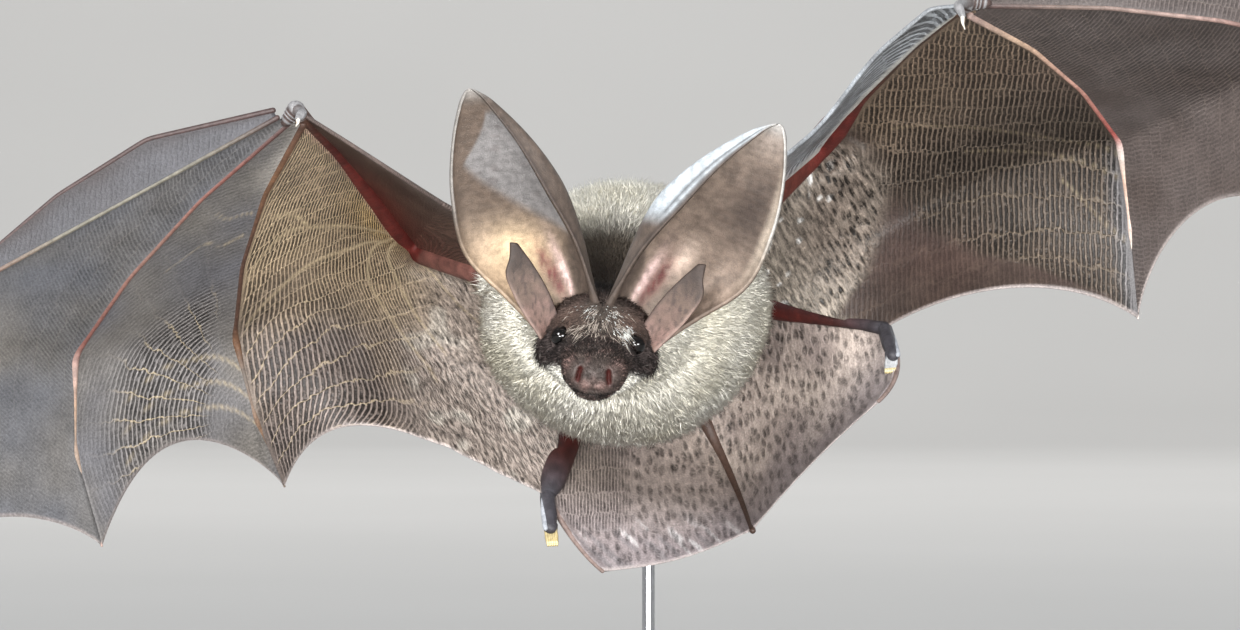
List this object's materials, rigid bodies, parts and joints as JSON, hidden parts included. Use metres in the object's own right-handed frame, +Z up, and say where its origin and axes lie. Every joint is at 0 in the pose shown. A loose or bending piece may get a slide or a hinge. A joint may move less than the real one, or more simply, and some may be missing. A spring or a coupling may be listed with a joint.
{
  "type": "desert long-eared bat in flight, museum model on a stand",
  "caption": "Still, life-size model of a long-eared bat in flight, wings half spread, held over a round base by a bent rod.",
  "frame": {"origin": "centre of the round base's underside, on the surface the stand rests on", "axes": "+X towards the bat's left side, +Y from its nose towards its tail, +Z up"},
  "size_m": [0.2536, 0.1106, 0.1315],
  "materials": {
    "coat": "soft cream-white fur, grey at the roots",
    "face_fur": "short dark brown fur over dark skin",
    "ear_skin": "thin, finely ribbed skin that lets light through",
    "eye": "wet black gloss",
    "arm_skin": "dark red skin over muscle",
    "finger_skin": "taut satin skin over thin bone",
    "wing_skin": "thin wrinkled skin with pale elastic strands",
    "foot_skin": "dark skin with pale toes",
    "stand_steel": "fine brushed",
    "stand_wood": "dark stained, satin"
  },
  "bodies": {
    "root": {"head": "face_fur", "neck": "coat", "trunk": "coat", "tail": "wing_skin", "ear_right": "ear_skin", "tragus_right": "ear_skin", "eye_right": "eye", "leg_right": "arm_skin", "foot_right": "foot_skin", "calcar_right": "finger_skin", "tail_membrane_right": "wing_skin", "upper_arm_right": "arm_skin", "forearm_right": "arm_skin", "thumb_right": "finger_skin", "membrane_5_4_right": "wing_skin", "membrane_4_3_right": "wing_skin", "membrane_3_2_right": "wing_skin", "arm_membrane_right": "wing_skin", "front_membrane_right": "wing_skin", "finger_2_right": "finger_skin", "finger_3_right": "finger_skin", "finger_4_right": "finger_skin", "finger_5_right": "finger_skin", "ear_left": "ear_skin", "tragus_left": "ear_skin", "eye_left": "eye", "leg_left": "arm_skin", "foot_left": "foot_skin", "calcar_left": "finger_skin", "tail_membrane_left": "wing_skin", "upper_arm_left": "arm_skin", "forearm_left": "arm_skin", "thumb_left": "finger_skin", "membrane_5_4_left": "wing_skin", "membrane_4_3_left": "wing_skin", "membrane_3_2_left": "wing_skin", "arm_membrane_left": "wing_skin", "front_membrane_left": "wing_skin", "finger_2_left": "finger_skin", "finger_3_left": "finger_skin", "finger_4_left": "finger_skin", "finger_5_left": "finger_skin", "stand_rod": "stand_steel", "stand_base": "stand_wood"}
  },
  "joints": []
}
